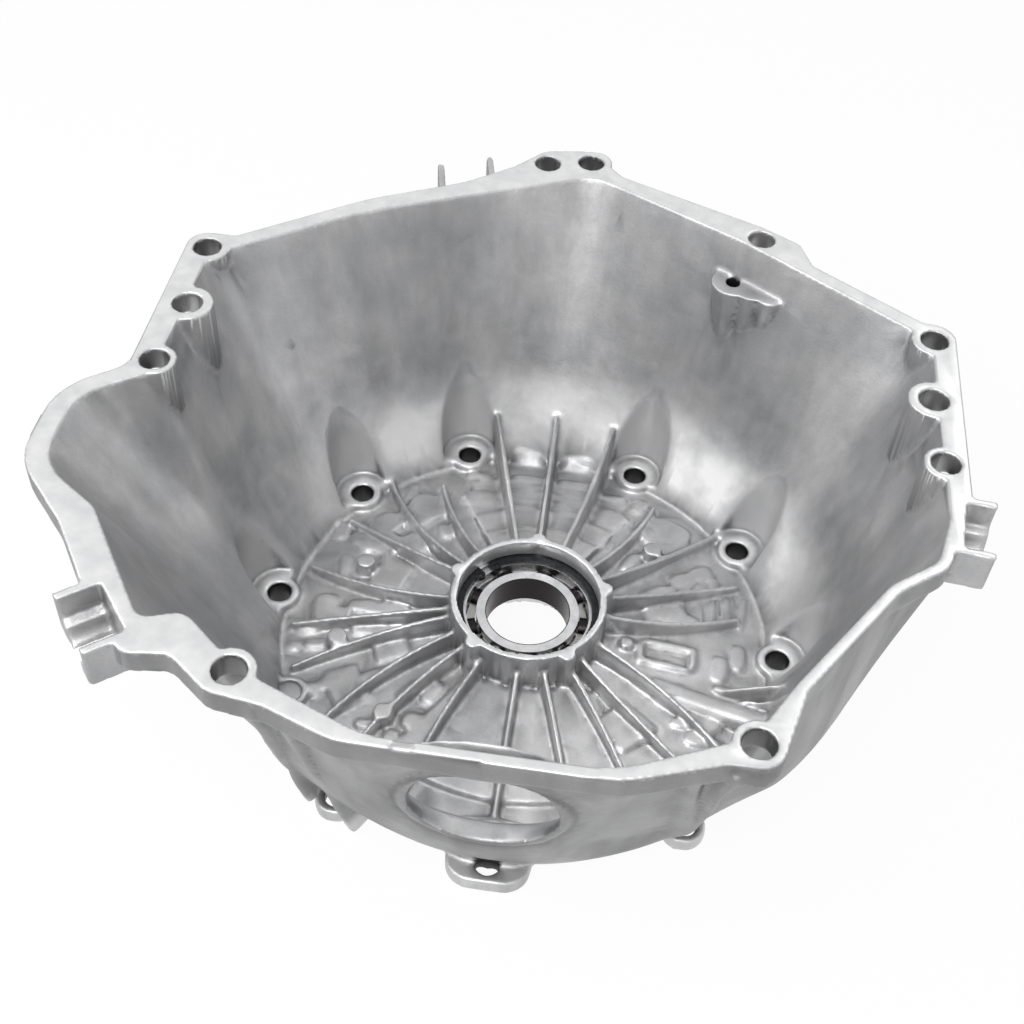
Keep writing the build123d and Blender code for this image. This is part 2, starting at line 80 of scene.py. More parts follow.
# Cast fields, bars and knobs on the floor in millimetres: middle x and y, half length and half
# width, turn in degrees, height over the floor
RELIEF = [
    (-12, 104, 9.7, 1.5, 0, 1.5), (-14, 117, 9.2, 2.9, 0, 1.8), (-13, 103, 8.7, 2.9, 0, 2),
    (-12, 86, 7.8, 2.4, 0, 2.8), (-11, 77, 6.8, 1.9, 0, 3), (13, 105, 9.7, 1.5, 0, 1.5),
    (12, 117, 9.2, 2.9, 0, 1.8), (12, 103, 8.7, 2.9, 0, 2), (12, 86, 7.8, 2.4, 0, 2.8),
    (12, 77, 6.8, 1.9, 0, 3), (-36, 83, 8.7, 5.8, 10, 2.5), (-26, 58, 5.8, 3.9, 60, 2),
    (-38, 101, 6.8, 2.9, 0, 1.5), (-61, 72, 10.7, 8.7, -30, 2.8), (-49, 56, 5.8, 3.9, -50, 2),
    (-71, 83, 3.4, 6.8, 0, 1.5), (-80, 57, 7.8, 8.7, -30, 2.5), (-63, 44, 8.7, 6.8, -35, 2.5),
    (-89, 44, 8.7, 4.8, -50, 2), (-69, 29, 9.7, 3.9, -25, 2.2),
    (-95, 25, 2.9, 9.7, 10, 1.5), (-102, 50, 3.9, 5.8, 0, 1.5), (-99, -1, 6.8, 7.8, 0, 2.5),
    (-72, 0, 16.5, 4.4, -5, 2.2), (-89, 15, 11.6, 2.9, -8, 1.6), (-104, -16, 5.8, 2.9, 5, 2),
    (-96, -24, 8.7, 2.9, 8, 2), (-72, -14, 11.6, 2.9, 5, 2), (-109, -26, 3.9, 2.9, 0, 1.5),
    (-85, -44, 8.7, 3.9, 35, 2.2), (-67, -40, 6.8, 3.9, 30, 2.5), (-94, -50, 3.9, 3.9, 0, 2),
    (-75, -53, 4.8, 3.9, 20, 2), (-55, -32, 8.7, 2.9, 35, 2), (-49, -46, 7.8, 2.9, 50, 2),
    (-67, -66, 3.9, 2.9, 0, 2), (-38, -46, 3.9, 6.8, -30, 2), (-45, -62, 4.8, 4.8, 0, 2.4),
    (-53, -71, 3.9, 3.9, 0, 2), (-22, -60, 4.8, 3.9, 0, 2.6), (-11, -43, 4.8, 7.8, 0, 1.6),
    (-9, -68, 5.8, 4.8, 0, 2.2), (-28, -69, 4.8, 2.9, 0, 2), (4, -43, 3.9, 7.8, 0, 1.6),
    (6, -63, 5.8, 5.8, 0, 2), (14, -69, 3.9, 2.9, 0, 2.2), (22, -48, 3.9, 4.8, 20, 2.2),
    (30, -61, 4.8, 3.9, 0, 2.4), (22, -67, 3.9, 2.9, 0, 2), (36, -40, 3.9, 6.8, 35, 2),
    (44, -53, 5.8, 3.9, -35, 2.4), (52, -59, 3.9, 2.9, 0, 2), (51, -41, 8.7, 2.9, -40, 2),
    (61, -52, 4.8, 3.9, 0, 2.4), (69, 1, 12.6, 2.1, 0, 2.5), (69, -11, 12.6, 2.1, -3, 2.5),
    (56, -6, 2.1, 6.8, 0, 2.5), (82, -4, 2.1, 6.8, 0, 2.5), (49, -3, 3.9, 3.9, 0, 3.5),
    (61, -26, 9.7, 2.9, -30, 2), (74, -33, 9.7, 2.9, -15, 2), (93, -40, 4.8, 3.9, 0, 2.6),
    (101, -33, 3.9, 3.9, 0, 2.6), (86, -49, 5.8, 3.9, 0, 2.4), (96, -51, 3.9, 3.9, 0, 2.6),
    (78, -42, 4.8, 2.9, 0, 2.2), (108, -20, 16.5, 2.9, -3, 3), (110, -29, 14.5, 2.1, -5, 3.5),
    (95, -7, 4.8, 7.8, 0, 2), (104, 2, 3.9, 7.8, 0, 2), (74, 18, 9.7, 3.9, 12, 2),
    (90, 26, 1.9, 9.7, 0, 2), (97, 29, 1.9, 10.7, 0, 2), (105, 30, 1.9, 10.7, -5, 2),
    (59, 11, 7.8, 2.9, 10, 1.6), (74, 45, 6.8, 4.8, 30, 2), (83, 52, 6.8, 4.8, 35, 2),
    (90, 44, 2.9, 6.8, 0, 2), (62, 35, 6.8, 2.9, 30, 1.6), (65, 77, 11.6, 8.7, -20, 3),
    (47, 51, 3.9, 7.8, -30, 2.5), (54, 47, 2.9, 3.9, 0, 2), (34, 80, 7.8, 7.8, -10, 2.5),
    (33, 97, 8.7, 2.4, 5, 1.8), (30, 61, 3.9, 5.8, -20, 1.6), (48, 94, 3.9, 5.8, -20, 1.5),
]
RIM_HOLES = np.array([
    (-21.6, 191.2), (0, 196.4), (88.2, 149.9), (168.5, 90.1), (-168.5, 90.1), (168.7, 10.6),
    (-168.7, 10.6), (94, -142.4), (-94, -142.4), (165.9, 49.45), (-165.9, 49.45)]) * MM
LUG_PLACES = np.array([(-150, -127), (183, -24)]) * MM
# Two ribs on the near wall's right: x, y and z of their outer edge at the flange and at the foot
NEAR_RIBS = [
    ((75.5, -154.7, 147.5), (79.2, -122.0, 50.0)),
    ((88.5, -155.0, 147.5), (83.3, -120.7, 50.0))]


def tone(code, alpha=1.0):
    """An sRGB hex code as linear red, green, blue and alpha."""
    parts = [int(code[i:i + 2], 16) / 255 for i in (1, 3, 5)]
    linear = [c / 12.92 if c <= 0.04045 else ((c + 0.055) / 1.055) ** 2.4 for c in parts]
    return (*linear, alpha)


def add_node(tree, kind, inputs=None, **settings):
    """One node with its settings; an input given as a socket is linked, any other is its value."""
    node = tree.nodes.new(kind)
    for name, value in settings.items():
        setattr(node, name, value)
    for key, value in (inputs or {}).items():
        if isinstance(value, bpy.types.NodeSocket):
            tree.links.new(value, node.inputs[key])
        else:
            node.inputs[key].default_value = value
    return node


def new_material(name):
    """An empty material with its shader and output joined."""
    material = bpy.data.materials.new(name)
    material.use_nodes = True
    tree = material.node_tree
    tree.nodes.clear()
    shader = add_node(tree, "ShaderNodeBsdfPrincipled")
    add_node(tree, "ShaderNodeOutputMaterial", {"Surface": shader.outputs[0]})
    return material, tree, shader


def ramp(tree, factor, stops):
    """A colour ramp through (place, linear colour) stops."""
    node = add_node(tree, "ShaderNodeValToRGB", {0: factor})
    elements = node.color_ramp.elements
    while len(elements) < len(stops):
        elements.new(0.5)
    for element, (place, colour) in zip(elements, stops):
        element.position = place
        element.color = colour
    return node.outputs[0]


def grey(value):
    """A linear grey."""
    return (value, value, value, 1)


def noise(tree, vector, size, detail, rough):
    """Noise whose features are about size metres across."""
    return add_node(tree, "ShaderNodeTexNoise", {
        "Vector": vector, "Scale": 1 / size, "Detail": detail, "Roughness": rough}).outputs[0]


def blended(tree, share, first, second, blend="MIX"):
    """Two colours mixed, or multiplied, by a share."""
    return add_node(tree, "ShaderNodeMix", {
        0: share, 6: first, 7: second}, data_type="RGBA", blend_type=blend).outputs[2]


def mask(tree, name):
    """A mask that finish_casting stored on the casting's points."""
    return add_node(tree, "ShaderNodeAttribute", attribute_name=name).outputs["Fac"]


def cast_aluminium():
    """Die cast aluminium, shot blasted, with milled faces where the machined mask is 1.

    The blasted skin is a satin grey with a fine dimpled grain, soft clouds where the die ran hot,
    and streaks where the metal flowed. The milled faces are paler and smoother.
    """
    material, tree, shader = new_material("blasted_cast_aluminium")
    place = add_node(tree, "ShaderNodeTexCoord").outputs["Object"]
    machined = mask(tree, "machined")

    clouds = noise(tree, place, 38 * MM, 4.0, 0.55)
    # The metal ran up the walls, so streaks and flow bands are long in Z
    streaks_place = add_node(tree, "ShaderNodeMapping", {
        "Vector": place, "Scale": (1.0, 1.0, 0.16)}).outputs[0]
    streaks = noise(tree, streaks_place, 7 * MM, 2.0, 0.5)
    bands = noise(tree, streaks_place, 26 * MM, 3.0, 0.5)
    # Blast grit is about 0.4 mm, drawn at 0.9 mm so that it shows
    grain = noise(tree, place, 0.9 * MM, 2.0, 0.7)

    skin = ramp(tree, clouds, [
        (0.30, tone("#BABBBD")), (0.55, tone("#CBCBCC")), (0.75, tone("#D8D8D8"))])
    for share, pattern, low, high, dark in (
            (0.35, streaks, 0.35, 0.62, 0.80),
            (0.8, bands, 0.38, 0.60, 0.74),
            (0.4, grain, 0.32, 0.55, 0.80)):
        shade = ramp(tree, pattern, [(low, grey(dark)), (high, grey(1.0))])
        skin = blended(tree, share, skin, shade, "MULTIPLY")
    # Painted shade, multiplied in: darkening in concave creases and the window's groove, on the bell's
    # outside, which faces away from the lamps, and in the unlit holes
    for name, dark in (("crease_shade", 0.50), ("outside", 0.50), ("deep", 0.08)):
        shade = ramp(tree, mask(tree, name), [(0.0, grey(1.0)), (1.0, grey(dark))])
        skin = blended(tree, 1.0, skin, shade, "MULTIPLY")
    # The scallops' backs: an even grey, a painted shade for how dark these pockets lie, on matt skin
    matt_scallop_shade = mask(tree, "matt_scallop_shade")
    skin = blended(tree, matt_scallop_shade, skin, tone("#B6B6B7"))
    # A painted highlight on the far shoulder, near white, standing in for its glossy shine; the clouds
    # break it up
    patch = add_node(tree, "ShaderNodeMapRange", {
        0: clouds, 1: 0.36, 2: 0.56, 3: 0.45, 4: 1.0}).outputs[0]
    shoulder_highlight = add_node(tree, "ShaderNodeMath", {
        0: mask(tree, "shoulder_highlight"), 1: patch}, operation="MULTIPLY").outputs[0]
    skin = blended(tree, shoulder_highlight, skin, tone("#FAFAFA"))
    milled = ramp(tree, streaks, [(0.3, tone("#D2D3D4")), (0.7, tone("#E2E2E2"))])
    colour = blended(tree, machined, skin, milled)

    rough_skin = add_node(tree, "ShaderNodeMapRange", {
        0: bands, 1: 0.3, 2: 0.7, 3: 0.50, 4: 0.36}).outputs[0]
    roughness = add_node(tree, "ShaderNodeMix", {0: machined, 2: rough_skin, 3: 0.34}).outputs[0]

    grain_bump = add_node(tree, "ShaderNodeBump", {
        "Height": grain, "Strength": 0.25, "Distance": 0.25 * MM}).outputs[0]
    ripple_bump = add_node(tree, "ShaderNodeBump", {
        "Height": noise(tree, place, 8 * MM, 3.0, 0.5), "Strength": 0.35, "Distance": 0.6 * MM,
        "Normal": grain_bump}).outputs[0]
    plain = add_node(tree, "ShaderNodeNewGeometry").outputs["Normal"]
    normal = add_node(tree, "ShaderNodeMix", {
        0: machined, 4: ripple_bump, 5: plain}, data_type="VECTOR").outputs[1]

    tree.links.new(colour, shader.inputs["Base Color"])
    tree.links.new(roughness, shader.inputs["Roughness"])
    tree.links.new(normal, shader.inputs["Normal"])
    # Matt skin scatters light, so the scallops' painted shade and the painted shoulder highlight count
    # as less metallic
    pale = add_node(tree, "ShaderNodeMath", {
        0: matt_scallop_shade, 1: shoulder_highlight}, operation="MAXIMUM").outputs[0]
    metal = add_node(tree, "ShaderNodeMapRange", {0: pale, 3: 0.8, 4: 0.25}).outputs[0]
    tree.links.new(metal, shader.inputs["Metallic"])
    return material


def turned_steel(name, low, high, rough, line_size, dark_bore=0.0, dark_top=1.0):
    """Steel ground or pressed round the shaft axis: fine rings about Z carry the light round it.

    It is near black inside the radius dark_bore and above the height dark_top.
    """
    material, tree, shader = new_material(name)
    place = add_node(tree, "ShaderNodeTexCoord").outputs["Object"]
    rings = add_node(tree, "ShaderNodeTexWave", {
        "Vector": place, "Scale": 1 / line_size, "Distortion": 1.5, "Detail": 2.0},
        wave_type="RINGS", rings_direction="Z").outputs[1]
    smudge = add_node(tree, "ShaderNodeTexNoise", {
        "Vector": place, "Scale": 1 / (6 * MM), "Detail": 3.0}).outputs[0]
    colour = ramp(tree, smudge, [(0.3, tone(low)), (0.7, tone(high))])
    parts = add_node(tree, "ShaderNodeSeparateXYZ", {0: place})
    flat = add_node(tree, "ShaderNodeCombineXYZ", {
        0: parts.outputs[0], 1: parts.outputs[1]}).outputs[0]
    radius = add_node(tree, "ShaderNodeVectorMath", {0: flat}, operation="LENGTH").outputs["Value"]
    inside = add_node(tree, "ShaderNodeMath", {
        0: radius, 1: dark_bore}, operation="LESS_THAN").outputs[0]
    above = add_node(tree, "ShaderNodeMath", {
        0: parts.outputs[2], 1: dark_top}, operation="GREATER_THAN").outputs[0]
    darkening = add_node(tree, "ShaderNodeMath", {0: inside, 1: above}, operation="MAXIMUM").outputs[0]
    colour = add_node(tree, "ShaderNodeMix", {
        0: darkening, 6: colour, 7: tone("#2B2829")}, data_type="RGBA").outputs[2]
    spread = add_node(tree, "ShaderNodeMapRange", {
        0: smudge, 1: 0.3, 2: 0.7, 3: rough * 0.8, 4: rough * 1.3}).outputs[0]
    bump = add_node(tree, "ShaderNodeBump", {
        "Height": rings, "Strength": 0.08, "Distance": 0.05 * MM}).outputs[0]
    tree.links.new(colour, shader.inputs["Base Color"])
    tree.links.new(spread, shader.inputs["Roughness"])
    tree.links.new(bump, shader.inputs["Normal"])
    shader.inputs["Metallic"].default_value = 1.0
    return material


def black_spring_steel():
    """Phosphated spring steel: near black, matt, with a faint oily sheen."""
    material, tree, shader = new_material("black_spring_steel")
    place = add_node(tree, "ShaderNodeTexCoord").outputs["Object"]
    darkening = add_node(tree, "ShaderNodeTexNoise", {
        "Vector": place, "Scale": 1 / (2 * MM), "Detail": 3.0}).outputs[0]
    tree.links.new(ramp(tree, darkening, [(0.3, tone("#17181A")), (0.7, tone("#2A2B2D"))]),
                   shader.inputs["Base Color"])
    bump = add_node(tree, "ShaderNodeBump", {
        "Height": darkening, "Strength": 0.15, "Distance": 0.05 * MM}).outputs[0]
    tree.links.new(bump, shader.inputs["Normal"])
    shader.inputs["Metallic"].default_value = 0.6
    shader.inputs["Roughness"].default_value = 0.42
    return material


def mesh_arrays(mesh):
    """Vertices and edges of a mesh as arrays."""
    points = np.empty(len(mesh.vertices) * 3)
    mesh.vertices.foreach_get("co", points)
    edges = np.empty(len(mesh.edges) * 2, dtype=np.int64)
    mesh.edges.foreach_get("vertices", edges)
    return points.reshape(-1, 3), edges.reshape(-1, 2)


def vertex_normals(mesh):
    """The mesh's vertex normals as an array."""
    normals = np.empty(len(mesh.vertices) * 3)
    mesh.vertices.foreach_get("normal", normals)
    return normals.reshape(-1, 3)


def neighbour_mean(values, edges):
    """For each vertex the mean of the values, in columns, of those it shares an edge with."""
    count = len(values)
    a, b = edges[:, 0], edges[:, 1]
    ends = np.concatenate([a, b])
    others = np.concatenate([b, a])
    degree = np.bincount(ends, minlength=count)
    sums = [np.bincount(ends, weights=column[others], minlength=count) for column in values.T]
    return np.stack(sums, axis=1) / np.maximum(degree, 1)[:, None]


def polar(points):
    """Distance of each point from the shaft axis, and its turn about it in degrees."""
    return np.hypot(points[:, 0], points[:, 1]), np.degrees(np.arctan2(points[:, 1], points[:, 0]))


def facing_out(points, normals):
    """The share of each normal that points away from the shaft axis."""
    x, y, z = points.T
    return (normals[:, 0] * x + normals[:, 1] * y) / np.maximum(np.hypot(x, y), MM)


def widened(points, scale):
    """The points with x and y scaled about the shaft axis, each by its own factor."""
    x, y, z = points.T
    return np.column_stack([x * scale, y * scale, z])


def from_bolt(points, angle):
    """Distance of each point from the axis of the floor bolt at an angle."""
    return np.hypot(points[:, 0] - bolt_circle * math.cos(angle),
                    points[:, 1] - bolt_circle * math.sin(angle))


def step(value, low, high):
    """0 below low, 1 above high, and a smooth S between."""
    t = np.clip((value - low) / (high - low), 0, 1)
    return t * t * (3 - 2 * t)


def machined_mask(points, normals):
    """1 on milled faces and bores: engine face, boss tops, hub top and bore, and the ring land."""
    z = points[:, 2]
    radius, turn = polar(points)
    up = step(normals[:, 2], 0.80, 0.95)

    def level(height):
        return step(-np.abs(z - height), -skin_depth, -0.2 * MM)

    flat = level(rim_z) * up
    hub_top = level(hub_z) * up * (radius < 45 * MM)
    bore = (radius < hub_r - 1.5 * MM) * 1.0
    under = level(0) * step(-normals[:, 2], 0.80, 0.95)
    tops = [level(boss_top) * up * (from_bolt(points, angle) < boss_r - 0.8 * MM)
            for angle in boss_angles]
    return np.maximum.reduce([flat, hub_top, bore, under, *tops])


def hole_shade_mask(points, normals):
    """Painted shade in the holes, where little light reaches: 1 in the bolt holes and the pad's, less
    in the rim's.
    """
    x, y, z = points.T
    side = 1 - step(np.abs(normals[:, 2]), 0.5, 0.8)
    deep = (np.hypot(x - pad_x, y - pad_y) < pad_hole_r) * (z > 105 * MM) * (z < 134.5 * MM)
    for angle in bolt_angles:
        inside = from_bolt(points, angle) < bolt_hole_r
        deep = np.maximum(deep, inside * (z < boss_top - 0.6 * MM))
    for hole_x, hole_y in RIM_HOLES:
        inside = np.hypot(x - hole_x, y - hole_y) < rim_hole_r
        deep = np.maximum(deep, 0.3 * inside * (z > 120 * MM))
    return deep * side


def crease_shade_mask(points, normals, edges):
    """Painted shade in concave places: up to 1 where the skin's points lie 0.25 mm below their
    neighbours.
    """
    shift = neighbour_mean(points, edges) - points
    return np.clip((shift * normals).sum(axis=1) / (0.25 * MM), 0, 1)


def window_groove_shade_mask(points, normals):
    """Painted shadow: 1 on the dark line round the window on the near wall, standing in for the shadow
    of the window frame's lip.
    """
    x, y, z = points.T
    ring = np.hypot(x, (z - window_z) * 0.93) - window_r - 2.5 * MM
    line = 1 - step(np.abs(ring), 0.6 * MM, 1.8 * MM)
    return line * (y < -140 * MM) * step(-normals[:, 1], 0.5, 0.8)


def matt_scallop_shade_mask(points, normals, wall):
    """1 on the backs of the scallops, painted an even grey as shade and given a matt skin."""
    z = points[:, 2]
    radius, turn = polar(points)
    backs = np.maximum.reduce([
        1 - step(from_bolt(points, angle), scallop_r + 1 * MM, scallop_r + 6 * MM)
        for angle in boss_angles])
    backs = backs * step(z, boss_top, boss_top + 3 * MM) * step(radius - wall, -2 * MM, 1 * MM)
    return backs * step(-facing_out(points, normals), 0.3, 0.6)


def shoulder_highlight_mask(points, normals, scallops):
    """Painted highlight: 1 on the far shoulder inside, between the scallops, fading up the wall and to
    the sides.
    """
    z = points[:, 2]
    radius, turn = polar(points)
    height = step(z, 17 * MM, 24 * MM) * (1 - step(z, 38 * MM, 66 * MM))
    sides = step(turn, 2, 30) * (1 - step(turn, 132, 165))
    strength = 1 - 0.35 * step(turn, 62, 90)
    inner = step(-facing_out(points, normals), 0.3, 0.6) * (radius > 112 * MM)
    return height * sides * strength * inner * (1 - scallops)


def outside_shade_mask(points, normals, wall):
    """Painted shade: 1 on the bell's outside, painted darker because it faces down and away from the
    lamps, less on the lugs and 0 on the feet.
    """
    x, y, z = points.T
    radius, turn = polar(points)
    past = radius - wall
    outer = step(facing_out(points, normals), 0.05, 0.25) * step(past, -12 * MM, -9 * MM)
    outer = np.maximum(outer, step(past, 1.5 * MM, 3.5 * MM))
    outer = outer * (1 - step(normals[:, 2], 0.4, 0.7)) * step(z, 10 * MM, 24 * MM)
    for lug_x, lug_y in LUG_PLACES:
        away = np.hypot(x - lug_x, y - lug_y)
        outer = outer * (0.35 + 0.65 * step(away, 18 * MM, 24 * MM))
    return outer


def held_mask(points):
    """How firmly a vertex keeps its CAD place while the casting's edges are rounded."""
    radius, turn = polar(points)
    rim = step(points[:, 2], rim_z - 1.6 * MM, rim_z - 0.4 * MM)
    hub = (radius < hub_r + 0.3 * MM) * 1.0
    return np.maximum(rim, hub)


def round_edges(points, edges, held, rounds):
    """Cast radii: in each round a free vertex moves 0.55 of the way to its neighbours' mean."""
    for _ in range(rounds):
        shift = neighbour_mean(points, edges) - points
        points = points + shift * (0.55 * (1 - held))[:, None]
    return points


def ground(radius):
    """Height of the bell's inner surface: the floor's cone, then the shoulder's steeper one."""
    fall = (floor_hub_z - floor_edge_z) / (floor_edge_r - floor_hub_r)
    return np.where(radius > floor_edge_r, floor_edge_z + (radius - floor_edge_r) / shoulder_lean,
                    floor_hub_z - (radius - floor_hub_r) * fall)


def loop(x, y, half_length, half_width, turn, count=24):
    """A superellipse |u/a|^3 + |v/b|^3 = 1 about x, y, turned in the plane."""
    t = np.linspace(0, 2 * np.pi, count, endpoint=False)
    u = half_length * np.sign(np.cos(t)) * np.abs(np.cos(t)) ** (2 / 3)
    v = half_width * np.sign(np.sin(t)) * np.abs(np.sin(t)) ** (2 / 3)
    c, s = math.cos(math.radians(turn)), math.sin(math.radians(turn))
    return np.stack([x + c * u - s * v, y + s * u + c * v], axis=1)


def add_prism(shape, low, high):
    """A closed prism between two loops of points, low and high."""
    rings = [[shape.verts.new(point) for point in ring] for ring in (low, high)]
    count = len(low)
    for i in range(count):
        j = (i + 1) % count
        shape.faces.new((rings[0][i], rings[0][j], rings[1][j], rings[1][i]))
    shape.faces.new(rings[0][::-1])
    shape.faces.new(rings[1])


def add_column(shape, flat, foot, head):
    """A closed upright prism on a loop of points in the plane."""
    add_prism(shape, *(np.column_stack([flat, np.full(len(flat), z)]) for z in (foot, head)))


def add_relief(shape):
    """The floor's cast relief: each field a prism with drafted sides, rooted 3 mm deep."""
    for x, y, half_length, half_width, turn, height in RELIEF:
        rings = []
        for draft, lift in ((0.4, -3.0), (-0.7, height)):
            flat = loop(x, y, half_length + draft, half_width + draft, turn) * MM
            z = ground(np.hypot(*flat.T)) + lift * MM
            rings.append(np.column_stack([flat, z]))
        add_prism(shape, *rings)


def add_tab_blend(shape):
    """The wide tab's swelling into the wall: three steps that the rounding melts together."""
    for half_length, half_width, high in ((16, 5, 22), (18, 8, 16), (18.5, 10, 11)):
        flat = loop(0, -113, half_length, half_width, 0) * MM
        add_column(shape, flat, 2 * MM, high * MM)


def add_hole_wall(shape):
    """The flange's wall round the topmost hole: short bars side by side on an arc."""
    # In millimetres
    hole_y, arc_r, bar = 196.4, 8.6, 2.2
    for angle in np.radians(np.arange(-40, 100, 12)):
        middle_y = hole_y + arc_r * math.sin(angle)
        flat = loop(arc_r * math.cos(angle), middle_y, bar, bar, 0) * MM
        add_column(shape, flat, flange_low, rim_z)


def wall_radius(points, normals):
    """Radius of the bell's inner surface at each point, and the lean of its wall above the knee.

    The mouth's radius is the mean over each degree of the inward facing points below the flange,
    evened over 9 degrees. From it the wall runs straight to the knee circle, and the shoulder from
    there to the floor's edge at a lean of a half.
    """
    x, y, z = points.T
    radius = np.hypot(x, y)
    inward = (normals[:, 0] * x + normals[:, 1] * y) < -0.5 * radius
    ring = inward & (np.abs(z - flange_low) < 2 * MM)
    turn = np.degrees(np.arctan2(y, x)) % 360
    bins = np.minimum(turn.astype(np.int64), 359)
    count = np.bincount(bins[ring], minlength=360)
    total = np.bincount(bins[ring], weights=radius[ring], minlength=360)
    known = count > 0
    degree = np.arange(360)
    mouth = np.interp(degree, degree[known], total[known] / count[known], period=360)
    mouth = np.mean([np.roll(mouth, k) for k in range(-4, 5)], axis=0)
    lean = (mouth - knee_r) / (flange_low - knee_z)
    lean = np.interp(turn, degree + 0.5, lean, period=360)
    above = knee_r + (z - knee_z) * lean
    below = knee_r + (z - knee_z) * shoulder_lean
    return np.where(z > knee_z, above, below), lean


def soften_knee(points, wall, lean):
    """Rounds the knee: the corner of the two leans becomes a parabola 2 x 28 mm high."""
    radius, turn = polar(points)
    half = 28 * MM
    reach = np.maximum(half - np.abs(points[:, 2] - knee_z), 0)
    inward = (shoulder_lean - lean) * reach ** 2 / (4 * half)
    inward = inward * step(radius - wall, -20 * MM, -4 * MM)
    return widened(points, 1 - inward / np.maximum(radius, MM))


def draw_scallops(points, normals, wall):
    """Carries each scallop up the wall as the die's draft does, to a point like a flame's.

    Beside the bolt's radial line at a distance u, the scallop's back lies at
    bolt_circle + sqrt(scallop_r^2 - u^2) + 0.12 (z - boss_top) from the shaft axis. Points of the
    inner surface that are nearer move out to it.
    """
    x, y, z = points.T
    radius, turn = polar(points)
    inner = (facing_out(points, normals) < -0.15)
    inner &= (radius > wall - 4 * MM) & (radius < wall + 14 * MM)
    inner &= (z > boss_top + 1.5 * MM) & (z < 80 * MM)
    target = radius
    for angle in boss_angles:
        across = x * math.sin(angle) - y * math.cos(angle)
        along = x * math.cos(angle) + y * math.sin(angle)
        back = bolt_circle + np.sqrt(np.maximum(scallop_r ** 2 - across ** 2, 0))
        back = back + 0.12 * (z - boss_top)
        chosen = inner & (np.abs(across) < scallop_r - 0.4 * MM) & (along > 0)
        target = np.where(chosen, np.maximum(target, back), target)
    return widened(points, target / np.maximum(radius, MM))


def fit_window(points):
    """Draws the window's lip in to its cast width, raises its top and flares the tube behind it.

    Round the window's axis each point moves along its radius d: inwards at the outside of the wall
    and outwards at the inside, in full up to the tube and fading out 12 mm past it. The top half
    is also stretched upwards.
    """
    x, y, z = points.T
    up = z - window_z
    d = np.hypot(x, up)
    depth = y - (near_wall_y + (rim_z - z) * near_wall_lean)
    near = (y < -110 * MM) * (1 - step(d, window_r + 2 * MM, window_r + 14 * MM))
    flare = -3.4 * MM + 8.5 * MM * step(depth, 3 * MM, 11 * MM)
    scale = 1 + near * flare / np.maximum(d, 20 * MM)
    below = 1 - step(z, flange_low - 5 * MM, flange_low)
    raised = near * 8 * MM * step(up, -6 * MM, 26 * MM) * below
    return np.column_stack([x * scale, y, window_z + up * scale + raised])


def sink_wall(points, edges, normals):
    """Sinks the near wall's right side round its two ribs, so that they stand proud of it."""
    x, y, z = points.T
    radius, turn = polar(points)
    free = np.ones(len(points))
    for top, foot in NEAR_RIBS:
        share = (z / MM - foot[2]) / (top[2] - foot[2])
        rib_x = (foot[0] + share * (top[0] - foot[0])) * MM
        rib_y = (foot[1] + share * (top[1] - foot[1])) * MM
        across = np.abs(x * rib_y - y * rib_x) / np.hypot(rib_x, rib_y)
        free = np.minimum(free, step(across, 2.4 * MM, 3.8 * MM))
    sides = step(turn, -82, -70) * (1 - step(turn, -50, -38))
    depth = 4.0 * MM * (rim_z - z) / (rim_z - knee_z) + 1.8 * MM
    depth = depth * step(z, 24 * MM, knee_z) * (1 - step(z, flange_low - 4 * MM, flange_low))
    outer = step(facing_out(points, normals), 0.2, 0.5) * (radius > 125 * MM)
    away = depth * sides * free * outer
    for _ in range(4):
        away = neighbour_mean(away[:, None], edges)[:, 0]
    return widened(points, 1 - away / np.maximum(radius, MM))


def even_near_wall(points, edges):
    """Smooths the near wall's right side once more, where sink_wall moved it."""
    radius, turn = polar(points)
    near = step(turn, -78, -72) * (1 - step(turn, -48, -42))
    near = near * (points[:, 2] < flange_low - 2 * MM) * (radius > 128 * MM)
    return round_edges(points, edges, 1 - near, 7)


def evaluated(piece):
    """Puts the mesh that the piece's modifiers make in its place and takes them off."""
    graph = bpy.context.evaluated_depsgraph_get()
    mesh = bpy.data.meshes.new_from_object(piece.evaluated_get(graph))
    piece.modifiers.clear()
    piece.data = mesh
    return mesh


def casting():
    """The housing with cast radii, from a copy of its CAD solid meshed evenly."""
    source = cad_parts["housing"]
    shape = bmesh.new()
    shape.from_mesh(source.data)
    add_relief(shape)
    add_tab_blend(shape)
    add_hole_wall(shape)
    mesh = bpy.data.meshes.new("casting")
    shape.to_mesh(mesh)
    shape.free()
    piece = bpy.data.objects.new("casting", mesh)
    bpy.context.scene.collection.objects.link(piece)
    weld = piece.modifiers.new("weld", "WELD")
    weld.merge_threshold = 0.01 * MM
    remesh = piece.modifiers.new("even_mesh", "REMESH")
    remesh.mode = "VOXEL"
    remesh.voxel_size = voxel
    fine = evaluated(piece)
    points, edges = mesh_arrays(fine)
    normals = vertex_normals(fine)
    wall, lean = wall_radius(points, normals)
    points = draw_scallops(points, normals, wall)
    points = soften_knee(points, wall, lean)
    points = sink_wall(fit_window(points), edges, normals)
    points = round_edges(points, edges, held_mask(points), 6)
    points = even_near_wall(points, edges)
    fine.vertices.foreach_set("co", points.ravel())
    fine.update()
    thin = piece.modifiers.new("thin", "DECIMATE")
    faces = sum(len(p.vertices) - 2 for p in fine.polygons)
    thin.ratio = min(1.0, triangle_limit / faces)
    final = evaluated(piece)
    # Smoothing and thinning may pass the CAD box by a hair
    points = np.clip(mesh_arrays(final)[0], *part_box("housing"))
    final.vertices.foreach_set("co", points.ravel())
    final.update()
    return piece


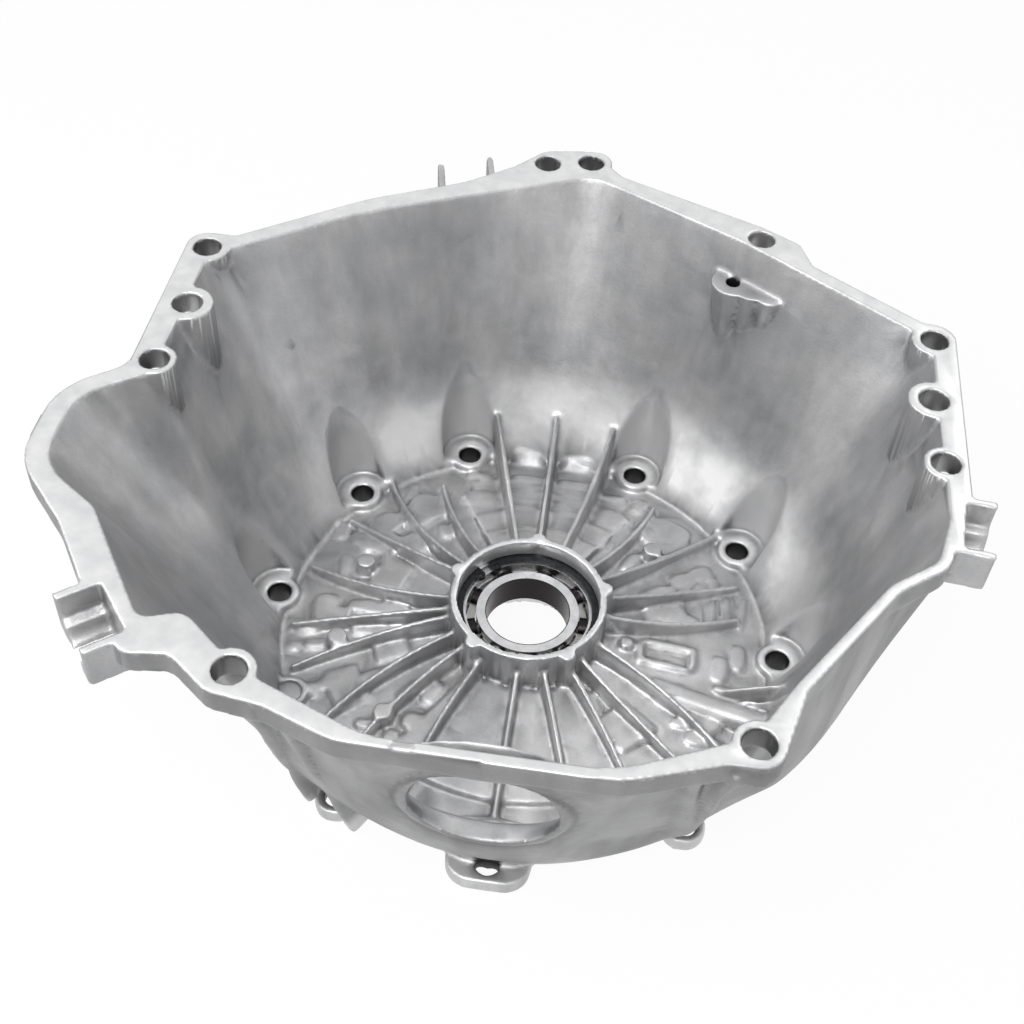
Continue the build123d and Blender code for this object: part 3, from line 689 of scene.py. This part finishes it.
def finish_casting(piece):
    """Stores the masks that the material reads on the casting, and smooths its shading."""
    mesh = piece.data
    points, edges = mesh_arrays(mesh)
    normals = vertex_normals(mesh)
    wall, lean = wall_radius(points, normals)
    deep = hole_shade_mask(points, normals)
    scallops = matt_scallop_shade_mask(points, normals, wall)
    crease_shade = crease_shade_mask(points, normals, edges)
    masks = {
        "machined": machined_mask(points, normals) * (deep == 0),
        # Painted shade in concave creases, with the painted shadow line round the window
        "crease_shade": np.maximum(crease_shade, 0.9 * window_groove_shade_mask(points, normals)),
        # Painted shade on the bell's outside
        "outside": outside_shade_mask(points, normals, wall),
        # Painted shade in the holes
        "deep": deep,
        # The scallops' painted shade and matt skin
        "matt_scallop_shade": scallops,
        # Painted highlight on the far shoulder
        "shoulder_highlight": shoulder_highlight_mask(points, normals, scallops),
    }
    for name, values in masks.items():
        layer = mesh.attributes.new(name, "FLOAT", "POINT")
        layer.data.foreach_set("value", values.astype(np.float32))
    mesh.shade_smooth()


def soft_box(name, place, target, size, power):
    """A large square studio lamp aimed at a point."""
    lamp = bpy.data.lights.new(name, "AREA")
    lamp.shape = "SQUARE"
    lamp.size = size
    lamp.energy = power
    holder = bpy.data.objects.new(name, lamp)
    aim = (Vector(target) - Vector(place)).to_track_quat("-Z", "Y")
    holder.matrix_world = Matrix.Translation(place) @ aim.to_matrix().to_4x4()
    bpy.context.scene.collection.objects.link(holder)


def seen_rays(tree):
    """1 for the rays that show the white surroundings: to the camera, mirrored or through."""
    rays = add_node(tree, "ShaderNodeLightPath").outputs
    seen = rays["Is Camera Ray"]
    for name in ("Is Glossy Ray", "Is Transmission Ray"):
        seen = add_node(tree, "ShaderNodeMath", {
            0: seen, 1: rays[name]}, operation="MAXIMUM").outputs[0]
    return seen


def studio():
    """Pale floor, white surroundings for the camera, and soft lamps."""
    material, tree, shader = new_material("pale_floor")
    shader.inputs["Base Color"].default_value = tone("#F2F2F2")
    shader.inputs["Roughness"].default_value = 0.9
    shader.inputs["Specular IOR Level"].default_value = 0.1
    glow = add_node(tree, "ShaderNodeEmission", {"Color": grey(1.0), "Strength": 1.0}).outputs[0]
    share = add_node(tree, "ShaderNodeMath", {
        0: seen_rays(tree), 1: 0.93}, operation="MULTIPLY").outputs[0]
    mixed = add_node(tree, "ShaderNodeMixShader", {0: share, 1: shader.outputs[0], 2: glow}).outputs[0]
    output = next(n for n in tree.nodes if n.bl_idname == "ShaderNodeOutputMaterial")
    tree.links.new(mixed, output.inputs["Surface"])
    mesh = bpy.data.meshes.new("floor")
    # A hair below the feet, so that the two don't lie in one plane
    size, low = 4.0, -0.3 * MM
    corners = [(-size, -size, low), (size, -size, low), (size, size, low), (-size, size, low)]
    mesh.from_pydata(corners, [], [(0, 1, 2, 3)])
    mesh.materials.append(material)
    floor = bpy.data.objects.new("floor", mesh)
    bpy.context.scene.collection.objects.link(floor)

    world = bpy.data.worlds.new("studio")
    world.use_nodes = True
    tree = world.node_tree
    tree.nodes.clear()
    direction = add_node(tree, "ShaderNodeTexCoord").outputs["Generated"]
    height = add_node(tree, "ShaderNodeSeparateXYZ", {0: direction}).outputs["Z"]
    sky = ramp(tree, height, [(0.0, grey(0.30)), (0.45, grey(0.50)), (1.0, grey(0.66))])
    light = add_node(tree, "ShaderNodeBackground", {"Color": sky, "Strength": 1.0}).outputs[0]
    white = add_node(tree, "ShaderNodeBackground", {"Color": grey(1.0), "Strength": 1.0}).outputs[0]
    mixed = add_node(tree, "ShaderNodeMixShader", {0: seen_rays(tree), 1: light, 2: white}).outputs[0]
    add_node(tree, "ShaderNodeOutputWorld", {"Surface": mixed})
    bpy.context.scene.world = world

    middle = (0, 0, 0.06)
    soft_box("front_key", (-0.2, -0.8, 1.15), middle, 0.8, 11)
    soft_box("left_fill", (-1.0, -0.2, 1.0), middle, 0.7, 5)
    soft_box("right_back", (0.7, 0.8, 1.1), middle, 0.6, 1.5)


def camera():
    """The photograph's view, from above and nearly in front."""
    lens = bpy.data.cameras.new("camera")
    lens.sensor_width = 36.0
    lens.lens = 50.89
    lens.shift_x = -0.0350
    lens.shift_y = 0.0025
    lens.clip_start = 0.01
    holder = bpy.data.objects.new("camera", lens)
    right = Vector((0.9905, 0.1224, 0.0635))
    up = Vector((-0.1330, 0.7261, 0.6746))
    back = right.cross(up)
    turn = Matrix((right, up, back)).transposed().to_4x4()
    holder.matrix_world = Matrix.Translation(Vector((28.7, -434.4, 572.7)) * MM) @ turn
    bpy.context.scene.collection.objects.link(holder)
    bpy.context.scene.camera = holder


def set_material(piece, material):
    """Gives the piece one material."""
    piece.data.materials.clear()
    piece.data.materials.append(material)


camera()
studio()
housing = casting()
finish_casting(housing)
set_material(housing, cast_aluminium())
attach(housing, "casting")
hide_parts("housing")

ground_steel = turned_steel("ground_bearing_steel", "#B4B5B7", "#D4D4D5", 0.26, 0.5 * MM)
bored_steel = turned_steel("bored_bearing_steel", "#C0C1C3", "#DADADB", 0.26, 0.5 * MM, 20.4 * MM)
pressed_steel = turned_steel(
    "pressed_cage_steel", "#8E8C89", "#B4B2AF", 0.32, 1.5 * MM, dark_top=25.0 * MM)
set_material(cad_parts["bearing_outer_ring"], ground_steel)
set_material(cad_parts["bearing_inner_ring"], bored_steel)
set_material(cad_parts["bearing_balls"], ground_steel)
set_material(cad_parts["bearing_cage"], pressed_steel)
set_material(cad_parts["retaining_ring"], black_spring_steel())

bpy.context.scene.view_settings.view_transform = "Standard"
